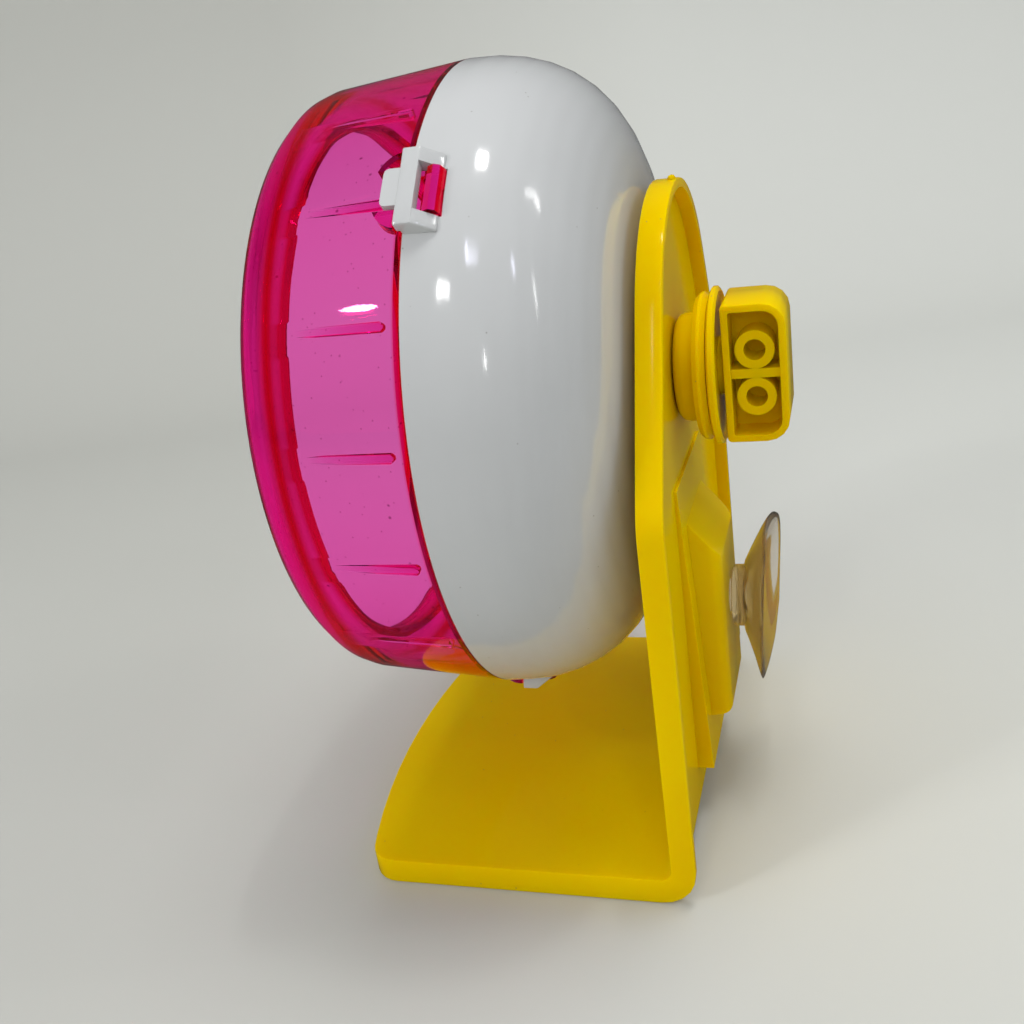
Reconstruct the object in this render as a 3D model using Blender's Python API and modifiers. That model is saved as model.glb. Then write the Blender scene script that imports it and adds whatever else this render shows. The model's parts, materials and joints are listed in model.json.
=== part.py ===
"""A small-pet exercise wheel on its stand, in metres with +Z up.

The drum is a clear front ring snapped onto a deep rear bowl. It turns on a ball bearing over a
spindle that is keyed into an L-shaped stand. Behind the stand, a loose disc and a wing screw on
the same axis grip the wires of a cage, and one suction cup holds on to a smooth wall.

Pieces on the wheel's axis are modelled in the axis frame: local Z runs along the axis towards the
open mouth, and local Z = 0 is the seam between ring and bowl. Local Y is up.
"""

import math

import bmesh
import bpy
from mathutils import Matrix, Vector

# Clearances
fit_gap = 0.0003
running_gap = 0.0013
overrun = 0.002
weld_distance = 0.000001
round_steps = 28
bearing_steps = 28
screw_steps = 16

# Drum
wheel_radius = 0.070
drum_wall = 0.002
axle_height = 0.105
bowl_steps = 54
ring_steps = 54

# Front ring
ring_depth = 0.0362
lip_reach = 0.0115
lip_round = 0.008
lip_bend = 50
lip_curl = 0.0037
lip_return = 0.0039
spigot_depth = 0.0025
spigot_wall = 0.0009
spigot_root = 0.0003
spigot_taper = 0.0012

# Grip ribs inside the ring
rib_count = 18
rib_width = 0.0018
rib_start = 0.0033
rib_end = 0.0223
rib_sink = 0.0002
rib_edge = 0.0004
first_rib_angle = math.radians(44.5)

# Snap clips between ring and bowl
clip_count = 3
clip_width = 0.0164
clip_rise = 0.0026
clip_overlap = 0.0005
clip_back = 0.0068
clip_edge = 0.0004
window_width = 0.0102
window_start = 0.0029
window_end = 0.0073
tongue_width = 0.0080
tongue_reach = 0.0036
tongue_rise = 0.0024
tongue_round = 0.0010
pad_reach = 0.0062
pad_rise = 0.0015
tab_sink = 0.0003
tooth_radius = 0.0017

# Rear bowl
bowl_depth = 0.0346
bowl_side_power = 4.5
bowl_back_power = 2.2
bowl_flat_radius = 0.0180
hub_wall = 0.0025
hub_floor = 0.0016
hub_rise = 0.0011
hub_hole_radius = 0.0084
gusset_count = 6
gusset_thickness = 0.0016
gusset_reach = 0.0160
gusset_height = 0.0055

# Hub cap
cap_radius = 0.0160
cap_height = 0.0056
cap_wall = 0.0014

# Ball bearing
bearing_bore = 0.008
bearing_outer = 0.022
bearing_width = 0.007
race_thickness = 0.0019
ball_count = 7
ball_diameter = 0.00397
ball_play = 0.0002
shield_thickness = 0.00035
shield_inset = 0.0002
retainer_thickness = 0.0010
retainer_back = 0.00265
retainer_front = 0.0015

# Spindle and its fixings
shank_radius = 0.0062
key_width = 0.003
key_rise = 0.0012
seat_radius = 0.0121
seat_depth = 0.0048
seat_round = 0.0022
jaw_radius = 0.0164
jaw_thickness = 0.0028
jaw_round = 0.0009
thread_bore_depth = 0.0098
lock_ring_width = 0.0033
lock_ring_thickness = 0.0006
axle_screw_diameter = 0.0036
axle_screw_length = 0.0085
axle_screw_head_radius = 0.0040
axle_screw_head_height = 0.0024
axle_screw_socket = 0.0026
axle_screw_socket_depth = 0.0013
washer_radius = 0.0058
washer_thickness = 0.001

# Cage clamp
thread_diameter = 0.0068
stem_length = 0.0120
stem_point = 0.0007
clamp_radius = 0.0175
clamp_thickness = 0.0019
clamp_hub_radius = 0.0060
clamp_hub_rise = 0.0005
clamp_dish = 0.0006
knob_depth = 0.0135
knob_height = 0.0304
knob_width = 0.0180
knob_rim = 0.0016
knob_web = 0.0020
knob_back_round = 0.0050
knob_front_round = 0.0010
knob_edge = 0.0005
socket_spacing = 0.0103
socket_radius = 0.0042
socket_bore_radius = 0.0023
socket_drop = 0.0010

# Stand
stand_half_width = 0.0534
stand_sheet = 0.0022
stand_rim = 0.0020
upright_depth = 0.0053
base_height = 0.0061
base_front = 0.0420
base_front_bow = 0.0075
base_corner_round = 0.0070
heel_round = 0.0080
throat_round = 0.0025
arch_radius = 0.0374
arch_rise = 0.0035
bend_drop = 0.0160
bend_round = 0.0150
stand_edge = 0.0010

# Plinth and cup box behind the upright
plinth_half_width = 0.0200
plinth_top_drop = 0.0220
plinth_foot_drop = 0.0930
plinth_top_rise = 0.0006
plinth_foot_rise = 0.0037
box_half_width = 0.0135
box_depth = 0.0081
box_top_drop = 0.0310
box_slope_drop = 0.0100
box_foot_drop = 0.0818
box_foot_draft = 0.0016
box_wall = 0.0018
box_corner_round = 0.0026
box_foot_round = 0.0014
box_edge = 0.0005

# Suction cup
cup_drop = 0.0570
cup_rim_radius = 0.0198
cup_collar_radius = 0.0074
cup_stub_radius = 0.0040
cup_head_radius = 0.0060
cup_head_thickness = 0.0024
cup_collar_depth = 0.0027
cup_depth = 0.0063
cup_centre_wall = 0.0022
cup_rim_wall = 0.0008

# Places along the axis that several pieces share
bowl_back = -bowl_depth
upright_front = bowl_back - running_gap
tray_floor = upright_front - stand_sheet
bearing_back = bowl_back + hub_floor + fit_gap
bearing_front = bearing_back + bearing_width
bearing_middle = (bearing_back + bearing_front) / 2
hub_front = bearing_front + hub_rise
spindle_tip = bearing_front + fit_gap
shoulder = bearing_back - fit_gap
seat_front = tray_floor - fit_gap
jaw_front = seat_front - seat_depth
jaw_back = jaw_front - jaw_thickness
clamp_front = jaw_back - fit_gap
clamp_back = clamp_front - clamp_thickness
knob_front = clamp_back - clamp_hub_rise - fit_gap
washer_back = spindle_tip + fit_gap
screw_seat = washer_back + washer_thickness + fit_gap

# Radii that several pieces share
bowl_inner_radius = wheel_radius - drum_wall
spindle_radius = (bearing_bore - fit_gap) / 2
race_bore_radius = (bearing_bore + fit_gap) / 2
race_outer_radius = bearing_outer / 2
pocket_radius = race_outer_radius + fit_gap
hub_radius = pocket_radius + hub_wall
thread_radius = thread_diameter / 2
screw_radius = axle_screw_diameter / 2
ball_radius = ball_diameter / 2
ball_circle = (race_bore_radius + race_outer_radius) / 2
lip_centre_radius = wheel_radius - lip_reach + drum_wall / 2
lip_centre_height = ring_depth - lip_round

# Places of the stand's faces, from front to back
upright_y = -upright_front
tray_y = -tray_floor
rim_y = upright_y + upright_depth
box_back_y = tray_y + box_depth

clip_angles = [first_rib_angle + i * math.tau / clip_count for i in range(clip_count)]
rib_angles = [first_rib_angle + i * math.tau / rib_count for i in range(rib_count)]


def clear_scene():
    for old in list(bpy.data.objects):
        bpy.data.objects.remove(old, do_unlink=True)


def new_collection(name):
    made = bpy.data.collections.new(name)
    bpy.context.scene.collection.children.link(made)
    return made


def material(name, colour, roughness, metallic=0.0, alpha=1.0):
    made = bpy.data.materials.new(name)
    made.use_nodes = True
    shader = made.node_tree.nodes["Principled BSDF"]
    shader.inputs["Base Color"].default_value = (*colour, 1.0)
    shader.inputs["Roughness"].default_value = roughness
    shader.inputs["Metallic"].default_value = metallic
    shader.inputs["Alpha"].default_value = alpha
    return made


clear_scene()
parts = new_collection("exercise_wheel")
cutters = new_collection("cutters")

pink_clear = material("pink_clear", (0.62, 0.01, 0.22), 0.08, alpha=0.55)
white_gloss = material("white_gloss", (0.66, 0.67, 0.69), 0.15)
yellow_gloss = material("yellow_gloss", (0.70, 0.46, 0.0), 0.22)
cup_clear = material("cup_clear", (0.62, 0.60, 0.62), 0.12, alpha=0.6)
steel = material("steel", (0.56, 0.57, 0.58), 0.3, metallic=1.0)
spring_steel = material("spring_steel", (0.35, 0.35, 0.36), 0.4, metallic=1.0)
nylon = material("nylon", (0.55, 0.50, 0.38), 0.5)


def empty(name, location, turn, parent):
    made = bpy.data.objects.new(name, None)
    made.location = location
    made.rotation_euler = (turn, 0, 0)
    made.parent = parent
    parts.objects.link(made)
    return made


assembly = empty("assembly", (0, 0, 0), 0, None)
wheel_axis = empty("wheel_axis", (0, 0, axle_height), math.pi / 2, assembly)
cup_axis = empty("cup_axis", (0, 0, axle_height - cup_drop), math.pi / 2, assembly)


def place(obj, look, parent):
    """Makes a solid one of the object's pieces."""
    obj.data.materials.clear()
    obj.data.materials.append(look)
    obj.parent = parent
    parts.objects.link(obj)
    return obj


def helper(obj, parent):
    """Keeps a solid only to cut or join others."""
    obj.parent = parent
    obj.hide_render = True
    obj.display_type = "WIRE"
    cutters.objects.link(obj)
    return obj


def boolean(target, operation, other):
    step = target.modifiers.new(f"{operation}_{other.name}", "BOOLEAN")
    step.operation = operation
    step.solver = "EXACT"
    step.object = other


def bevel(obj, width, segments=2, angle=40):
    step = obj.modifiers.new("rounded_edges", "BEVEL")
    step.width = width
    step.segments = segments
    step.limit_method = "ANGLE"
    step.angle_limit = math.radians(angle)
    return obj


def turned(name, profile, steps, closed=False):
    """A solid of revolution about local Z, from (radius, height) points down its outer side."""
    mesh = bpy.data.meshes.new(name)
    corners = [(radius, 0, height) for radius, height in profile]
    edges = [(i, i + 1) for i in range(len(corners) - 1)]
    if closed:
        edges.append((len(corners) - 1, 0))
    mesh.from_pydata(corners, edges, [])
    obj = bpy.data.objects.new(name, mesh)
    screw = obj.modifiers.new("turned", "SCREW")
    screw.axis = "Z"
    screw.steps = steps
    screw.render_steps = steps
    screw.use_merge_vertices = True
    screw.merge_threshold = weld_distance
    screw.use_smooth_shade = True
    return obj


def axes_of(plane, middle):
    """The matrix that stands a flat plate in a plane, moved along that plane's normal."""
    rows = {
        "XY": ((1, 0, 0, 0), (0, 1, 0, 0), (0, 0, 1, middle)),
        "XZ": ((1, 0, 0, 0), (0, 0, -1, middle), (0, 1, 0, 0)),
        "YZ": ((0, 0, 1, middle), (1, 0, 0, 0), (0, 1, 0, 0)),
    }
    return Matrix((*rows[plane], (0, 0, 0, 1)))


def plate(name, plane, outline, low, high):
    """A flat outline drawn in a plane, filling the space from low to high across it."""
    curve = bpy.data.curves.new(name, "CURVE")
    curve.dimensions = "2D"
    curve.fill_mode = "BOTH"
    curve.extrude = (high - low) / 2
    spline = curve.splines.new("POLY")
    spline.points.add(len(outline) - 1)
    for point, (across, up) in zip(spline.points, outline):
        point.co = (across, up, 0, 1)
    spline.use_cyclic_u = True
    drawn = bpy.data.objects.new(f"{name}_curve", curve)
    bpy.context.scene.collection.objects.link(drawn)
    bpy.context.view_layer.update()
    graph = bpy.context.evaluated_depsgraph_get()
    mesh = bpy.data.meshes.new_from_object(drawn.evaluated_get(graph))
    bpy.data.objects.remove(drawn, do_unlink=True)
    solid = bmesh.new()
    solid.from_mesh(mesh)
    bmesh.ops.remove_doubles(solid, verts=solid.verts, dist=weld_distance)
    flat = math.radians(0.5)
    bmesh.ops.dissolve_limit(
        solid, angle_limit=flat, verts=solid.verts, edges=solid.edges
    )
    bmesh.ops.transform(solid, matrix=axes_of(plane, (low + high) / 2), verts=solid.verts)
    bmesh.ops.recalc_face_normals(solid, faces=solid.faces)
    solid.to_mesh(mesh)
    solid.free()
    mesh.materials.clear()
    return bpy.data.objects.new(name, mesh)


def block(name, low, high):
    """A box between two corners."""
    mesh = bpy.data.meshes.new(name)
    solid = bmesh.new()
    bmesh.ops.create_cube(solid, size=1)
    size = Vector(high) - Vector(low)
    middle = (Vector(high) + Vector(low)) / 2
    bmesh.ops.scale(solid, vec=size, verts=solid.verts)
    bmesh.ops.translate(solid, vec=middle, verts=solid.verts)
    solid.to_mesh(mesh)
    solid.free()
    return bpy.data.objects.new(name, mesh)


def rod(name, radius, start, end, steps=24):
    """A cylinder between two points."""
    mesh = bpy.data.meshes.new(name)
    solid = bmesh.new()
    run = Vector(end) - Vector(start)
    turn = run.to_track_quat("Z", "Y").to_matrix().to_4x4()
    middle = Matrix.Translation((Vector(start) + Vector(end)) / 2)
    bmesh.ops.create_cone(
        solid,
        cap_ends=True,
        segments=steps,
        radius1=radius,
        radius2=radius,
        depth=run.length,
        matrix=middle @ turn,
    )
    solid.to_mesh(mesh)
    solid.free()
    return bpy.data.objects.new(name, mesh)


def arc(centre, radius, start, end, count):
    """Points along an arc, with its angles in degrees."""
    angles = [math.radians(start + (end - start) * i / count) for i in range(count + 1)]
    return [
        (centre[0] + radius * math.cos(a), centre[1] + radius * math.sin(a))
        for a in angles
    ]


def fillet(outline, rounds, count=5):
    """An outline with some corners made into arcs: rounds maps a corner's index to its radius."""
    made = []
    for i, corner in enumerate(outline):
        if i not in rounds:
            made.append(tuple(corner))
            continue
        here = Vector(corner)
        before = (Vector(outline[i - 1]) - here).normalized()
        after = (Vector(outline[(i + 1) % len(outline)]) - here).normalized()
        half = before.angle(after) / 2
        reach = rounds[i] / math.tan(half)
        centre = here + (before + after).normalized() * rounds[i] / math.sin(half)
        first = here + before * reach - centre
        last = here + after * reach - centre
        for step in range(count + 1):
            spoke = first.slerp(last, step / count)
            made.append(tuple(centre + spoke.normalized() * rounds[i]))
    return made


def applied(obj):
    """The mesh of an object with its modifiers made real."""
    bpy.context.scene.collection.objects.link(obj)
    bpy.context.view_layer.update()
    graph = bpy.context.evaluated_depsgraph_get()
    mesh = bpy.data.meshes.new_from_object(obj.evaluated_get(graph))
    bpy.data.objects.remove(obj, do_unlink=True)
    return mesh


def around(name, mesh, angles):
    """Copies of a mesh about local Z, as one helper of separate solids."""
    whole = bmesh.new()
    for angle in angles:
        copy = mesh.copy()
        copy.transform(Matrix.Rotation(angle, 4, "Z"))
        whole.from_mesh(copy)
        bpy.data.meshes.remove(copy)
    made = bpy.data.meshes.new(name)
    whole.to_mesh(made)
    whole.free()
    return bpy.data.objects.new(name, made)


def ring_profile():
    """The ring's section: curled lip, cone, seam face, locating spigot and the inside again."""
    cone_angle = math.degrees(
        math.atan2(wheel_radius - lip_centre_radius - lip_round, lip_centre_height)
    )
    centre = (lip_centre_radius, lip_centre_height)
    bend = math.radians(lip_bend)
    curl_centre = (
        lip_centre_radius + (lip_round - lip_curl) * math.cos(bend),
        lip_centre_height + (lip_round - lip_curl) * math.sin(bend),
    )
    edge = (curl_centre[0] - lip_curl + drum_wall / 2, curl_centre[1] - lip_return)
    outer_lip = arc(curl_centre, lip_curl, 180, lip_bend, 5)
    outer_lip += arc(centre, lip_round, lip_bend, cone_angle, 2)[1:]
    inner_lip = arc(centre, lip_round - drum_wall, cone_angle, lip_bend, 1)
    inner_lip += arc(curl_centre, lip_curl - drum_wall, lip_bend, 180, 3)[1:]
    rim = arc(edge, drum_wall / 2, 0, -180, 2)
    spigot_radius = bowl_inner_radius - fit_gap
    spigot_inner = spigot_radius - spigot_wall
    taper_end = spigot_root + spigot_taper
    seam = [
        (wheel_radius, 0),
        (spigot_radius, 0),
        (spigot_radius, -spigot_depth),
        (spigot_inner, -spigot_depth),
        (spigot_inner, spigot_root),
        (cone_radius(taper_end) - drum_wall, taper_end),
    ]
    return outer_lip + seam + inner_lip + rim


def cone_radius(height):
    """The ring's outer radius on its cone, at a height above the seam."""
    lip_start = lip_centre_radius + lip_round
    return wheel_radius + (lip_start - wheel_radius) * height / lip_centre_height


def grip_ribs():
    """Round-nosed ribs whose flat crests run along the mould's draw and so fade into the cone."""
    crest = cone_radius(rib_end) - drum_wall
    root = cone_radius(rib_start) - drum_wall + rib_sink
    half = rib_width / 2
    nose = arc((0, rib_start + half), half, 180, 360, 4)
    outline = [*nose, (half, rib_end), (-half, rib_end)]
    rib = bevel(plate("rib", "YZ", outline, crest, root), rib_edge, 1)
    return helper(around("grip_ribs", applied(rib), rib_angles), wheel_axis)


def clip_pads():
    """Raised quarter-round pads that guide the bowl's tongues from both sides."""
    start = clip_overlap + fit_gap
    slot = tongue_width / 2 + fit_gap
    side = clip_width / 2
    inner = wheel_radius - drum_wall + fit_gap
    outer = wheel_radius + pad_rise
    slot_angle = math.degrees(math.acos(slot / side))
    start_angle = math.degrees(math.asin(start / pad_reach))
    quarter = [
        (side * a, pad_reach * b) for a, b in arc((0, 0), 1, start_angle, slot_angle, 6)
    ]
    outline = [*quarter, (slot, start)]
    pad = plate("pad", "YZ", outline, inner, outer)
    mirrored = [(-across, up) for across, up in outline[::-1]]
    other = plate("other_pad", "YZ", mirrored, inner, outer)
    pads = around("clip_pads", applied(pad), clip_angles)
    others = around("other_clip_pads", applied(other), clip_angles)
    return helper(pads, wheel_axis), helper(others, wheel_axis)


def clip_tabs():
    """Spring tabs that pass under the bowl's cross bars, each with a tooth for the window."""
    half = window_width / 2 - fit_gap
    inner = bowl_inner_radius - fit_gap - spigot_wall / 2
    outer = wheel_radius - tab_sink
    middle = -window_end + fit_gap + tooth_radius
    outline = [
        (inner, spigot_wall / 2),
        (inner, middle - tooth_radius),
        *arc((outer, middle), tooth_radius, -90, 90, 4),
        (outer, spigot_wall / 2),
    ]
    tab = plate("tab", "XZ", outline, -half, half)
    return helper(around("clip_tabs", applied(tab), clip_angles), wheel_axis)


def front_ring():
    ring = turned("front_ring", ring_profile(), ring_steps, closed=True)
    boolean(ring, "UNION", grip_ribs())
    boolean(ring, "UNION", clip_tabs())
    for pads in clip_pads():
        boolean(ring, "UNION", pads)
    return place(ring, pink_clear, wheel_axis)


def bowl_curve(radius, depth, count):
    """The bowl's side and back as one superellipse, from the seam to its flat middle."""
    last = math.acos((bowl_flat_radius / radius) ** (bowl_side_power / 2))
    points = []
    for i in range(count + 1):
        turn = last * i / count
        across = radius * math.cos(turn) ** (2 / bowl_side_power)
        back = (depth - fit_gap) * math.sin(turn) ** (2 / bowl_back_power)
        points.append((across, -fit_gap - back))
    return points


def bowl_surface(height):
    """The bowl's outer radius at a height above or below the seam."""
    share = (abs(height) / (bowl_depth - fit_gap)) ** bowl_back_power
    return wheel_radius * (1 - share) ** (1 / bowl_side_power)


def bowl_profile():
    floor_top = bowl_back + hub_floor
    inner_back = -(bowl_depth - drum_wall)
    outside = bowl_curve(wheel_radius, bowl_depth, 11)
    hub = [
        (hub_hole_radius, bowl_back),
        (hub_hole_radius, floor_top),
        (pocket_radius, floor_top),
        (pocket_radius, hub_front),
        (hub_radius, hub_front),
        (hub_radius, inner_back),
    ]
    inside = bowl_curve(bowl_inner_radius, bowl_depth - drum_wall, 7)
    return outside + hub + inside[::-1]


def hub_gussets():
    inner_back = -(bowl_depth - drum_wall)
    root = hub_radius - hub_wall / 2
    outline = [
        (root, inner_back - drum_wall / 2),
        (hub_radius + gusset_reach, inner_back - drum_wall / 2),
        (root, inner_back + gusset_height),
    ]
    half = gusset_thickness / 2
    gusset = plate("gusset", "XZ", outline, -half, half)
    angles = [i * math.tau / gusset_count for i in range(gusset_count)]
    return helper(around("hub_gussets", applied(gusset), angles), wheel_axis)


def clip_lugs():
    """The bowl's raised lugs: a cross bar over the seam, sloping back into the bowl."""
    under = wheel_radius + fit_gap
    top = wheel_radius + clip_rise
    root = wheel_radius - drum_wall / 2
    outline = [
        (under, clip_overlap),
        (top, clip_overlap),
        (top, -window_start),
        (bowl_surface(clip_back - fit_gap), -clip_back),
        (root, -clip_back),
        (root, -fit_gap),
        (under, -fit_gap),
    ]
    lug = plate("lug", "XZ", outline, -clip_width / 2, clip_width / 2)
    bevel(lug, clip_edge, 2, 25)
    half = tongue_width / 2
    tip = fillet(
        [(half, 0), (half, tongue_reach), (-half, tongue_reach), (-half, 0)],
        {1: tongue_round, 2: tongue_round},
        3,
    )
    tongue = plate("tongue", "YZ", tip, under, wheel_radius + tongue_rise)
    boolean(lug, "UNION", helper(tongue, None))
    return helper(around("clip_lugs", applied(lug), clip_angles), wheel_axis)


def clip_windows():
    """The window through each lug and wall, and the notch that lets the tab pass."""
    half = window_width / 2
    inner = bowl_inner_radius - overrun
    outer = wheel_radius + clip_rise + overrun
    window = block("window", (inner, -half, -window_end), (outer, half, -window_start))
    notch = block(
        "notch",
        (inner, -half, -window_start - overrun),
        (wheel_radius + 2 * fit_gap, half, tongue_reach + overrun),
    )
    boolean(window, "UNION", helper(notch, None))
    return helper(around("clip_windows", applied(window), clip_angles), wheel_axis)


def rear_bowl():
    bowl = turned("rear_bowl", bowl_profile(), bowl_steps, closed=True)
    boolean(bowl, "UNION", hub_gussets())
    boolean(bowl, "UNION", clip_lugs())
    boolean(bowl, "DIFFERENCE", clip_windows())
    return place(bowl, white_gloss, wheel_axis)


def hub_cap():
    seat = hub_front + fit_gap
    crown = seat + cap_height
    spigot_inner = race_outer_radius - cap_wall
    dome = arc((0, 0), 1, 90, 25, 4)
    rise = cap_height - cap_wall
    outside = [(cap_radius * a, seat + cap_wall + rise * b) for a, b in dome]
    profile = outside + [
        (cap_radius, seat + cap_wall),
        (cap_radius, seat),
        (race_outer_radius, seat),
        (race_outer_radius, bearing_front + fit_gap),
        (spigot_inner, bearing_front + fit_gap),
        (spigot_inner, crown - 2 * cap_wall),
        (spigot_inner - cap_wall, crown - cap_wall),
        (0, crown - cap_wall),
    ]
    return place(turned("hub_cap", profile, round_steps), white_gloss, wheel_axis)


def race_groove(side):
    """Half-round groove points; side is 1 for the outer race and -1 for the inner one."""
    depth = ball_radius + ball_play
    groove = arc((0, 0), depth, -50, 50, 4)
    return [(ball_circle + side * a, bearing_middle - side * b) for a, b in groove]


def bearing_races():
    inner_land = race_bore_radius + race_thickness
    outer_land = race_outer_radius - race_thickness
    outer = [
        (race_outer_radius, bearing_front),
        (race_outer_radius, bearing_back),
        (outer_land, bearing_back),
        *race_groove(1)[::-1],
        (outer_land, bearing_front),
    ]
    inner = [
        (inner_land, bearing_front),
        *race_groove(-1)[::-1],
        (inner_land, bearing_back),
        (race_bore_radius, bearing_back),
        (race_bore_radius, bearing_front),
    ]
    for name, profile in (("bearing_outer_race", outer), ("bearing_inner_race", inner)):
        place(turned(name, profile, bearing_steps, closed=True), steel, wheel_axis)


def bearing_shields():
    inner = race_bore_radius + race_thickness + fit_gap
    outer = race_outer_radius - race_thickness - fit_gap
    half = bearing_width / 2 - shield_inset
    for name, side in (("bearing_front_shield", 1), ("bearing_back_shield", -1)):
        face = bearing_middle + side * half
        other = face - side * shield_thickness
        top = max(face, other)
        bottom = min(face, other)
        profile = [(outer, top), (outer, bottom), (inner, bottom), (inner, top)]
        place(turned(name, profile, bearing_steps, closed=True), steel, wheel_axis)


def ball_places():
    angles = [i * math.tau / ball_count for i in range(ball_count)]
    return [
        (ball_circle * math.cos(a), ball_circle * math.sin(a), bearing_middle)
        for a in angles
    ]


def sphere(name, radius, across, down):
    mesh = bpy.data.meshes.new(name)
    solid = bmesh.new()
    bmesh.ops.create_uvsphere(solid, u_segments=across, v_segments=down, radius=radius)
    solid.to_mesh(mesh)
    solid.free()
    mesh.shade_smooth()
    return mesh


def bearing_balls():
    mesh = sphere("bearing_ball", ball_radius, 10, 6)
    for number, spot in enumerate(ball_places(), 1):
        ball = bpy.data.objects.new(f"bearing_ball_{number}", mesh)
        ball.location = spot
        ball.parent = wheel_axis
        parts.objects.link(ball)
    mesh.materials.append(steel)


def bearing_retainer():
    """A crown that keeps the balls apart, open towards the mouth."""
    inner = ball_circle - retainer_thickness / 2
    outer = ball_circle + retainer_thickness / 2
    top = bearing_middle + retainer_front
    bottom = bearing_middle - retainer_back
    profile = [(outer, top), (outer, bottom), (inner, bottom), (inner, top)]
    crown = turned("bearing_retainer", profile, bearing_steps, closed=True)
    whole = bmesh.new()
    for spot in ball_places():
        pocket = sphere("pocket", ball_radius + ball_play, 10, 8)
        pocket.transform(Matrix.Translation(spot))
        whole.from_mesh(pocket)
        bpy.data.meshes.remove(pocket)
    pockets = bpy.data.meshes.new("ball_pockets")
    whole.to_mesh(pockets)
    whole.free()
    cutter = helper(bpy.data.objects.new("ball_pockets", pockets), wheel_axis)
    boolean(crown, "DIFFERENCE", cutter)
    return place(crown, nylon, wheel_axis)


def key_block(name, margin, low, high):
    """The key that stops the spindle turning in the stand, or with a margin its slot."""
    half = key_width / 2 + margin
    root = (thread_radius + shank_radius) / 2
    top = shank_radius + key_rise + margin
    return block(name, (-half, root, low), (half, top, high))


def spindle():
    """One moulding: the pin under the bearing, the keyed shank, the seat and the fixed jaw."""
    bore = screw_radius + fit_gap
    bore_end = spindle_tip - axle_screw_length - fit_gap
    thread_bore = thread_radius + fit_gap
    thread_end = jaw_back + thread_bore_depth
    seat_corner = (seat_radius - seat_round, seat_front - seat_round)
    jaw_middle = (jaw_radius - jaw_round, (jaw_front + jaw_back) / 2)
    profile = [
        (0, bore_end),
        (bore, bore_end),
        (bore, spindle_tip),
        (spindle_radius, spindle_tip),
        (spindle_radius, shoulder),
        (shank_radius, shoulder),
        (shank_radius, seat_front),
        *arc(seat_corner, seat_round, 90, 0, 3),
        (seat_radius, jaw_front),
        (jaw_middle[0], jaw_front),
        *arc(jaw_middle, jaw_round, 60, -60, 3),
        (jaw_middle[0], jaw_back),
        (thread_bore, jaw_back),
        (thread_bore, thread_end),
        (0, thread_end),
    ]
    body = turned("spindle", profile, round_steps)
    key = key_block("spindle_key", 0, seat_front - fit_gap, upright_front)
    boolean(body, "UNION", helper(key, wheel_axis))
    return place(body, yellow_gloss, wheel_axis)


def lock_ring():
    """The push-on spring ring that holds the spindle in the stand."""
    back = upright_front + fit_gap
    front = back + lock_ring_thickness
    inner = shank_radius + fit_gap
    outer = inner + lock_ring_width
    profile = [(outer, front), (outer, back), (inner, back), (inner, front)]
    return place(turned("lock_ring", profile, bearing_steps, closed=True), spring_steel, wheel_axis)


def axle_screw():
    head_top = screw_seat + axle_screw_head_height
    edge = axle_screw_head_height / 3
    profile = [
        (0, head_top - axle_screw_socket_depth),
        (axle_screw_socket / 2, head_top - axle_screw_socket_depth),
        (axle_screw_socket / 2, head_top),
        (axle_screw_head_radius - edge, head_top),
        (axle_screw_head_radius, head_top - edge),
        (axle_screw_head_radius, screw_seat),
        (screw_radius, screw_seat),
        (screw_radius, spindle_tip - axle_screw_length + edge),
        (screw_radius - edge, spindle_tip - axle_screw_length),
        (0, spindle_tip - axle_screw_length),
    ]
    return place(turned("axle_screw", profile, screw_steps), steel, wheel_axis)


def retaining_washer():
    front = washer_back + washer_thickness
    inner = screw_radius + fit_gap
    profile = [
        (washer_radius, front),
        (washer_radius, washer_back),
        (inner, washer_back),
        (inner, front),
    ]
    return place(turned("retaining_washer", profile, bearing_steps, closed=True), steel, wheel_axis)


def clamp_disc():
    bore = thread_radius + fit_gap
    rim = clamp_thickness / 2
    middle = (clamp_radius - rim, (clamp_front + clamp_back) / 2)
    profile = [
        *arc(middle, rim, 90, -90, 3),
        (clamp_radius - 2 * rim, clamp_back + clamp_dish),
        (clamp_hub_radius + clamp_dish, clamp_back + clamp_dish),
        (clamp_hub_radius, clamp_back - clamp_hub_rise),
        (bore, clamp_back - clamp_hub_rise),
        (bore, clamp_front),
    ]
    return place(turned("clamp_disc", profile, round_steps, closed=True), yellow_gloss, wheel_axis)


def knob_outline(inset):
    """The knob seen from its side, as (up, along the axis), with its back corners rounded."""
    up = knob_height / 2 - inset
    front = knob_front - inset
    back = knob_front - knob_depth + inset
    corners = [(up, front), (up, back), (-up, back), (-up, front)]
    back_round = knob_back_round - inset
    front_round = max(knob_front_round - inset, knob_edge)
    rounds = {0: front_round, 1: back_round, 2: back_round, 3: front_round}
    return fillet(corners, rounds, 4)


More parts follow.
